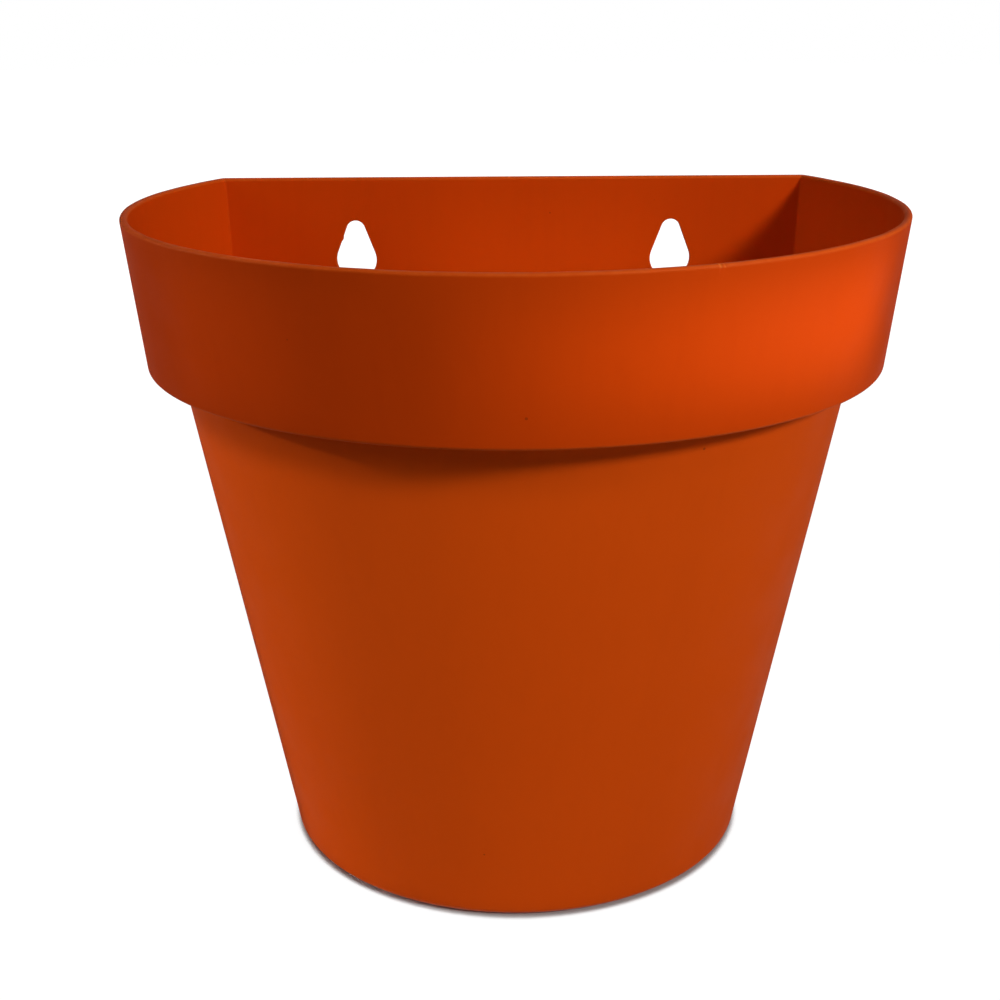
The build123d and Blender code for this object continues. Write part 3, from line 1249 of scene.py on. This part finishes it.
@dataclass
class DrainGrid:
    """The lift-out false floor: a perforated plate on legs with a skirt and a pinch grip."""

    pot: WallPot
    leg_length: float = 16.0 * MM
    thickness: float = 2.0 * MM
    gap: float = 1.2 * MM
    corner: float = 2.0 * MM
    skirt_inset: float = 3.0 * MM
    skirt_thickness: float = 1.6 * MM
    skirt_depth: float = 5.0 * MM
    skirt_corner: float = 0.9 * MM
    leg_diameter: float = 6.0 * MM
    leg_draft: float = 0.6 * MM
    hole_diameter: float = 4.5 * MM
    hole_pitch: float = 10.0 * MM
    hole_land: float = 2.0 * MM
    grip_width: float = 26.0 * MM
    grip_height: float = 16.0 * MM
    grip_thickness: float = 2.4 * MM
    grip_corner: float = 5.0 * MM
    grip_edge: float = 0.6 * MM
    root: float = 0.8 * MM
    edge: float = 0.35 * MM
    hole_edge: float = 0.25 * MM
    leg_shares: tuple[Point, ...] = (
        (-0.73, 0.15), (0.73, 0.15), (-0.64, 0.67), (0.64, 0.67), (0.0, 0.87),
    )
    grip_round_share: float = 0.9
    grip_steps: int = 10
    grip_edge_steps: int = 4
    corner_steps: int = 4
    front_steps: int = 144
    rear_steps: int = 48
    hole_steps: int = 24

    @property
    def underside(self) -> float:
        """Level of the plate's underside."""
        return self.pot.floor_top + self.leg_length

    @property
    def top(self) -> float:
        """Level of the plate's top."""
        return self.underside + self.thickness

    def leg_places(self) -> list[Point]:
        """Centre of each leg."""
        half = self.pot.base_width / 2
        return [(half * across, -self.pot.base_depth * out) for across, out in self.leg_shares]

    def hole_places(self) -> list[Point]:
        """A square pattern of holes, clear of edge, legs and grip.

        Returns:
            Each hole's centre.
        """
        radius, centre = self.pot.body_section(self.underside)
        hole = self.hole_diameter / 2
        edge = self.pot.wall + self.gap + self.skirt_inset + self.skirt_thickness + self.hole_land + hole
        leg_clear = self.leg_diameter / 2 + self.hole_land + hole
        grip_clear = self.grip_thickness / 2 + self.hole_land + hole
        middle = -self.pot.base_depth / 2
        reach = int(self.pot.base_width / self.hole_pitch)
        places = []
        for column in range(-reach, reach + 1):
            for row in range(-reach, reach + 1):
                x, y = column * self.hole_pitch, middle + row * self.hole_pitch
                inside = y < -edge and hypot(x, y + centre) < radius - edge
                on_grip = abs(x) < self.grip_width / 2 + hole and abs(y - middle) < grip_clear
                on_leg = any(hypot(x - a, y - b) < leg_clear for a, b in self.leg_places())
                if inside and not on_grip and not on_leg:
                    places.append((x, y))
        return places

    def outline(self, inset: float, corner: float) -> list[Point]:
        """The plate's outline, drawn in.

        Args:
            inset: how far, from the pot's outside.
            corner: radius of its back corners.

        Returns:
            The points.
        """
        radius, centre = self.pot.body_section(self.underside)
        made = Outline(self.underside, radius - inset, centre, inset, corner, closed=True)
        return made.round(self.corner_steps, self.front_steps, self.rear_steps)

    def rim(self, shell: Shell) -> tuple[Ring, Ring]:
        """Adds the plate's edge.

        Args:
            shell: the skin.

        Returns:
            Its loops in the underside and in the top.
        """
        inset = self.pot.wall + self.gap
        rings = []
        for less, fall in rounding(self.edge, 1, 0)[::-1]:
            rings.append(shell.ring(self.outline(inset + less, self.corner), self.top - fall))
        for less, up in rounding(self.edge, 0, 1):
            rings.insert(0, shell.ring(self.outline(inset + less, self.corner), self.underside + up))
        shell.strips(rings)
        return rings[0], rings[-1]

    def skirt(self, shell: Shell) -> tuple[Ring, Ring]:
        """Adds the skirt.

        Args:
            shell: the skin.

        Returns:
            Its outer and inner loops in the plate's underside.
        """
        outer = self.pot.wall + self.gap + self.skirt_inset
        inner = outer + self.skirt_thickness
        bottom = self.underside - self.skirt_depth
        rings = [shell.ring(self.outline(outer, self.corner), self.underside)]
        for less, up in rounding(self.edge, 0, 1):
            rings.append(shell.ring(self.outline(outer + less, self.corner), bottom + up))
        for less, up in rounding(self.edge, 1, 0):
            rings.append(shell.ring(self.outline(inner - less, self.skirt_corner), bottom + up))
        rings.append(shell.ring(self.outline(inner, self.skirt_corner), self.underside))
        shell.strips(rings)
        return rings[0], rings[-1]

    def leg(self, shell: Shell, x: float, y: float) -> Ring:
        """Adds one tapered leg.

        Args:
            shell: the skin.
            x: its axis across.
            y: its axis in depth.

        Returns:
            Its loop in the plate's underside.
        """
        root = self.leg_diameter / 2
        foot = root - self.leg_draft
        floor = self.pot.floor_top
        rings = []
        for grow, fall in rounding(self.root, 0, 1):
            level = self.underside - fall
            rings.insert(0, shell.round_ring(x, y, root + grow, level, self.hole_steps))
        for less, up in rounding(self.edge, 0, 1):
            rings.append(shell.round_ring(x, y, foot - less, floor + up, self.hole_steps))
        shell.strips(rings)
        shell.flat(rings[-1])
        return rings[0]

    def drawn_in(self, radius: float, fall: float) -> float:
        """How far a rounding draws a side in at a height below the grip's top."""
        return radius - sqrt(max(radius**2 - (radius - fall) ** 2, 0.0))

    def grip(self, shell: Shell) -> Ring:
        """Adds the pinch grip.

        Args:
            shell: the skin.

        Returns:
            Its loop in the plate's top.
        """
        y = -self.pot.base_depth / 2
        corner = self.grip_thickness / 2 * self.grip_round_share
        summit = self.top + self.grip_height
        rings = []
        for grow, up in rounding(self.root, 0, 1)[::-1]:
            width, depth = self.grip_width + 2 * grow, self.grip_thickness + 2 * grow
            rings.append(shell.ring(rounded_bar(0, y, width, depth, corner + grow), self.top + up))
        falls = [fall for _, fall in rounding(self.grip_corner, 0, 1, self.grip_steps)]
        falls += [fall for _, fall in rounding(self.grip_edge, 0, 1, self.grip_edge_steps)]
        for fall in sorted(set(falls), reverse=True):
            drawn = self.drawn_in(self.grip_corner, fall)
            thin = self.drawn_in(self.grip_edge, fall) if fall < self.grip_edge else 0.0
            width, depth = self.grip_width - 2 * drawn, self.grip_thickness - 2 * thin
            bar = rounded_bar(0, y, width, depth, corner - thin * self.grip_round_share)
            rings.append(shell.ring(bar, summit - fall))
        shell.strips(rings)
        shell.flat(rings[-1])
        return rings[0]

    def build(self) -> bpy.types.Object:
        """Builds the grid.

        Returns:
            The grid.
        """
        shell = Shell(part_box("pot_body")[0].z)
        low_rim, high_rim = self.rim(shell)
        outer, inner = self.skirt(shell)
        faces = (self.underside, self.top)
        radius = self.hole_diameter / 2
        holes = []
        for x, y in self.hole_places():
            holes.append(shell.bore(x, y, radius, faces, self.hole_edge, self.hole_steps))
        legs = [self.leg(shell, x, y) for x, y in self.leg_places()]
        shell.flat(low_rim, outer)
        shell.flat(inner, *legs, *[loops[0] for loops in holes])
        shell.flat(high_rim, self.grip(shell), *[loops[1] for loops in holes])
        return shell.piece("grid")


@dataclass
class DrainPlug:
    """A push-in stopper: a flange under the floor, a hollow stem and a finger bar."""

    pot: WallPot
    body: Body
    clearance: float = 0.05 * MM
    overhang: float = 2.5 * MM
    flange: float = 1.4 * MM
    reach: float = 2.6 * MM
    wall: float = 1.5 * MM
    lead_in: float = 0.6 * MM
    bar_width: float = 2.0 * MM
    bar_height: float = 1.2 * MM
    bar_length: float = 9.0 * MM
    bar_corner: float = 0.8 * MM
    edge: float = 0.3 * MM
    inner_edge: float = 0.2 * MM
    rounding_steps: int = 4
    steps: int = 64

    def build(self) -> bpy.types.Object:
        """Builds the plug.

        Returns:
            The plug.
        """
        x, y = self.pot.drain_places()[self.body]
        shell = Shell(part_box("pot_body")[0].z)
        outer = self.pot.drain_diameter / 2 + self.overhang
        stem = self.pot.drain_diameter / 2 - self.clearance
        hollow = stem - self.wall
        seat = self.pot.foot_recess
        bottom = seat - self.flange
        top = self.pot.floor_top + self.reach
        lower_edge = rounding(self.edge, 1, 0, self.rounding_steps)
        profile = [(outer - less, bottom + up) for less, up in lower_edge]
        profile += [(outer - less, seat - fall) for less, fall in rounding(self.inner_edge, 0, 1)]
        profile += [(stem, seat), (stem, top - self.lead_in), (stem - self.lead_in, top)]
        profile += [(hollow + out, top - fall) for out, fall in rounding(self.inner_edge, 1, 0)]
        profile += [(hollow, seat)]
        rings = [shell.round_ring(x, y, radius, level, self.steps) for radius, level in profile]
        shell.strips(rings)
        shell.flat(rings[-1])
        shell.flat(rings[0], self.bar(shell, x, y, bottom))
        return shell.piece(self.body.value.removeprefix("plug_") + "_plug")

    def bar(self, shell: Shell, x: float, y: float, flange_level: float) -> Ring:
        """Adds the finger bar.

        Args:
            shell: the skin.
            x: its middle across.
            y: its middle in depth.
            flange_level: level of the flange's underside.

        Returns:
            Its loop in the flange.
        """
        bottom = flange_level - self.bar_height
        outline = rounded_bar(x, y, self.bar_length, self.bar_width, self.bar_corner)
        rings = [shell.ring(outline, flange_level)]
        for less, up in rounding(self.edge, 0, 1):
            length, width = self.bar_length - 2 * less, self.bar_width - 2 * less
            outline = rounded_bar(x, y, length, width, self.bar_corner - less)
            rings.append(shell.ring(outline, bottom + up))
        shell.strips(rings)
        shell.flat(rings[-1])
        return rings[0]


# Light, ground and camera


@dataclass(frozen=True)
class Lamp:
    """A soft lamp that faces the pot, or a narrow one that lights one zone of it.

    Angles are in degrees, the aim counts from the pot's middle, and a lamp with no height is square.
    """

    name: str
    azimuth: float
    elevation: float
    distance: float
    width: float
    power: float
    height: float | None = None
    spread: float = 180.0
    aim: Place = (0.0, 0.0, 0.0)

    def place(self, target: Vector) -> bpy.types.Object:
        """Adds the lamp.

        Args:
            target: the pot's middle.

        Returns:
            The lamp's object.
        """
        turn, rise = radians(self.azimuth), radians(self.elevation)
        toward = Vector((sin(turn) * cos(rise), -cos(turn) * cos(rise), sin(rise)))
        light = bpy.data.lights.new(self.name, "AREA")
        light.shape = "RECTANGLE"
        light.size = self.width
        light.size_y = self.height or self.width
        light.energy = self.power
        light.spread = radians(self.spread)
        made = bpy.data.objects.new(self.name, light)
        made.visible_camera = False
        made.location = target + Vector(self.aim) + toward * self.distance
        made.rotation_euler = (-toward).to_track_quat("-Z", "Y").to_euler()
        bpy.context.scene.collection.objects.link(made)
        return made


@dataclass
class Studio:
    """The pale floor, the white surroundings and the soft lamps."""

    floor_radius: float = 4.0
    floor_steps: int = 96
    floor_tone: Span = (0.38, 0.42)
    grain_per_metre: float = 300.0
    grain_range: Span = (0.3, 0.7)
    white_start: float = 0.25
    white_end: float = 0.9
    white_near_share: float = 0.86
    white_glow: float = 1.16
    contact_reach: float = 4.0 * MM
    contact_range: Span = (0.4, 0.66)
    contact_samples: int = 8
    surround: float = 0.01
    gloss_share: float = 0.15
    lamps: tuple[Lamp, ...] = (
        Lamp("key", 50.0, 29.0, 1.6, 0.22, 15.5),
        Lamp("left_side", -99.5, 17.6, 0.5, 0.26, 0.0546, 0.224, 2.6, (-0.0083, 0.0014, -0.0267)),
        Lamp("left_crown", -70.0, 25.0, 2.0, 0.7, 4.7),
        Lamp("front_crown", 0.0, 45.0, 2.0, 1.2, 3.9),
        Lamp("back_crown", 180.0, 40.0, 2.0, 0.7, 2.6),
        Lamp("under_back", 180.0, -52.0, 1.5, 0.8, 5.0),
        Lamp("collar_strip", 79.0, 0.0, 0.35, 0.08, 0.0046, 0.03, 7.0, (0.0, -0.051, 0.0805)),
        Lamp("collar_left", -42.0, 0.0, 0.35, 0.046, 0.00042, 0.036, 4.5, (-0.0715, -0.0527, 0.0775)),
        Lamp("body_strip", -60.0, 0.0, 0.35, 0.14, 0.0145, 0.144, 2.8, (0.0, -0.026, -0.028)),
        Lamp("back_strip", 180.0, 0.0, 0.4, 0.26, 0.034, 0.19, 3.0, (0.0, 0.084, -0.006)),
        Lamp("inner_strip", -88.0, 30.0, 0.4, 0.13, 0.0026, 0.05, 10.0, (0.1, 0.029, 0.078)),
        Lamp("inner_back", 0.0, 50.0, 0.4, 0.076, 0.0028, 0.04, 8.0, (0.012, 0.082, 0.0585)),
    )

    def white_rays(self, g: Graph) -> bpy.types.NodeSocket:
        """How much white a ray sees: all of it directly and through glass, a share of it in gloss.

        Args:
            g: the graph of a material or of the world.

        Returns:
            The share's socket.
        """
        path = g.add("LightPath")
        gloss = g.math("MULTIPLY", path.outputs["Is Glossy Ray"], self.gloss_share)
        seen = g.math("MAXIMUM", path.outputs["Is Camera Ray"], path.outputs["Is Transmission Ray"])
        return g.math("MAXIMUM", seen, gloss)

    def floor_material(self) -> bpy.types.Material:
        """White ground that keeps a soft shadow near the pot, with a contact shade painted by ambient
        occlusion, and lets the lamp below it through.

        Returns:
            The material.
        """
        material = bpy.data.materials.new("pale_floor")
        material.use_nodes = True
        g = Graph(material.node_tree)
        g.tree.nodes.clear()
        away = g.add("VectorMath", operation="LENGTH")
        g.feed(away.inputs[0], g.add("TexCoord").outputs["Object"])
        reach = (self.white_start, self.white_end)
        share = g.remap(away.outputs["Value"], reach, (self.white_near_share, 1.0))
        # painted contact shade: ambient occlusion fades the white out where the pot stands close, showing
        # the darker matt floor
        painted_contact_shade = g.add("AmbientOcclusion", samples=self.contact_samples)
        painted_contact_shade.inputs["Distance"].default_value = self.contact_reach
        share = g.math("MULTIPLY", share, g.remap(painted_contact_shade.outputs["AO"], self.contact_range))
        cloud = g.noise(g.place(), self.grain_per_metre, detail=3.0)
        grain = g.remap(cloud, self.grain_range, self.floor_tone)
        tint = g.add("CombineColor")
        for channel in ("Red", "Green", "Blue"):
            g.feed(tint.inputs[channel], grain)
        matt = g.add("BsdfDiffuse")
        g.feed(matt.inputs["Color"], tint.outputs["Color"])
        white = g.add("Emission")
        white.inputs["Strength"].default_value = self.white_glow
        shown = g.add("MixShader")
        g.feed(shown.inputs[0], g.math("MULTIPLY", share, self.white_rays(g)))
        g.feed(shown.inputs[1], matt.outputs[0])
        g.feed(shown.inputs[2], white.outputs[0])
        clear = g.add("MixShader")
        below = g.add("NewGeometry").outputs["Backfacing"]
        to_lamp = g.add("LightPath").outputs["Is Shadow Ray"]
        g.feed(clear.inputs[0], g.math("MAXIMUM", below, to_lamp))
        g.feed(clear.inputs[1], shown.outputs[0])
        g.feed(clear.inputs[2], g.add("BsdfTransparent").outputs[0])
        g.feed(g.add("OutputMaterial").inputs["Surface"], clear.outputs[0])
        return material

    def lay_floor(self, level: float) -> bpy.types.Object:
        """Adds the round floor.

        Args:
            level: its height.

        Returns:
            The floor.
        """
        mesh = bpy.data.meshes.new("floor")
        net = bmesh.new()
        bmesh.ops.create_circle(net, cap_ends=True, radius=self.floor_radius, segments=self.floor_steps)
        net.to_mesh(mesh)
        net.free()
        floor = bpy.data.objects.new("floor", mesh)
        floor.location.z = level
        floor.data.materials.append(self.floor_material())
        bpy.context.scene.collection.objects.link(floor)
        return floor

    def paint_surroundings(self) -> None:
        """White where it is seen directly or in gloss, and a moderate even light otherwise."""
        world = bpy.data.worlds.new("surroundings")
        world.use_nodes = True
        g = Graph(world.node_tree)
        g.tree.nodes.clear()
        background = g.add("Background")
        background.inputs["Color"].default_value = (1.0, 1.0, 1.0, 1.0)
        strength = g.math("MULTIPLY_ADD", self.white_rays(g), 1.0 - self.surround, self.surround)
        g.feed(background.inputs["Strength"], strength)
        g.feed(g.add("OutputWorld").inputs["Surface"], background.outputs[0])
        bpy.context.scene.world = world

    def build(self, floor_level: float, target: Vector) -> None:
        """Sets up floor, surroundings and lamps.

        Args:
            floor_level: height of the floor.
            target: the pot's middle, which the lamps face or aim beside.
        """
        self.lay_floor(floor_level)
        self.paint_surroundings()
        for lamp in self.lamps:
            lamp.place(target)


@dataclass(frozen=True)
class PhotoCamera:
    """The camera, where the photograph was taken from."""

    place: Place = (-0.004686, -0.519134, 0.081278)
    pitch: float = 0.321
    roll: float = -0.006
    lens: float = 58.4946
    sensor: float = 36.0
    nearest: float = 10.0 * MM

    def build(self) -> bpy.types.Object:
        """Adds the camera and makes it the scene's.

        Returns:
            The camera.
        """
        forward = Vector((0.0, cos(self.pitch), -sin(self.pitch)))
        level_right = Vector((1.0, 0.0, 0.0))
        level_up = level_right.cross(forward)
        right = level_right * cos(self.roll) + level_up * sin(self.roll)
        up = level_up * cos(self.roll) - level_right * sin(self.roll)
        camera = bpy.data.cameras.new("camera")
        camera.lens = self.lens
        camera.sensor_width = self.sensor
        camera.clip_start = self.nearest
        turned = Matrix((right, up, -forward)).transposed().to_4x4()
        made = bpy.data.objects.new("camera", camera)
        made.matrix_world = Matrix.Translation(self.place) @ turned
        bpy.context.scene.collection.objects.link(made)
        bpy.context.scene.camera = made
        return made


# The vase


class WallVase:
    """The dressed vase: pot, drain grid and plugs."""

    def __init__(self) -> None:
        """Sets the sizes that its pieces share."""
        self.pot = WallPot()
        self.effects = Effects()

    def dress(self, piece: bpy.types.Object, node: str, body: Body,
              look: bpy.types.Material) -> None:
        """Joins a piece to the frame and gives it its finish.

        Args:
            piece: the modelled piece.
            node: the node that it stands for.
            body: the body that it moves with.
            look: its material.
        """
        piece.data.materials.append(look)
        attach(piece, body.value)
        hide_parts(node)
        LOG.info("%s: %d faces, rides on %s", piece.name, len(piece.data.polygons), body.value)

    def build(self) -> None:
        """Builds and dresses every piece."""
        self.dress(self.pot.build(), "pot_body", Body.POT, POT_FINISH.make(self.effects))
        grid = DrainGrid(self.pot).build()
        self.dress(grid, "drain_grid", Body.GRID, GRID_FINISH.make(self.effects))
        rubber = PLUG_FINISH.make(self.effects)
        for body in (Body.PLUG_LEFT, Body.PLUG_RIGHT, Body.PLUG_FRONT):
            plug = DrainPlug(self.pot, body).build()
            node = "drain_" + body.value
            self.dress(plug, node, body, rubber)


def main() -> None:
    """Builds the vase, then the studio and the camera."""
    logging.basicConfig(level=logging.INFO, format="%(name)s: %(message)s")
    bpy.context.scene.view_settings.view_transform = "Standard"
    WallVase().build()
    middle = (cad_low + cad_high) / 2
    Studio().build(cad_low.z, middle)
    PhotoCamera().build()


if __name__ == "__main__":
    main()
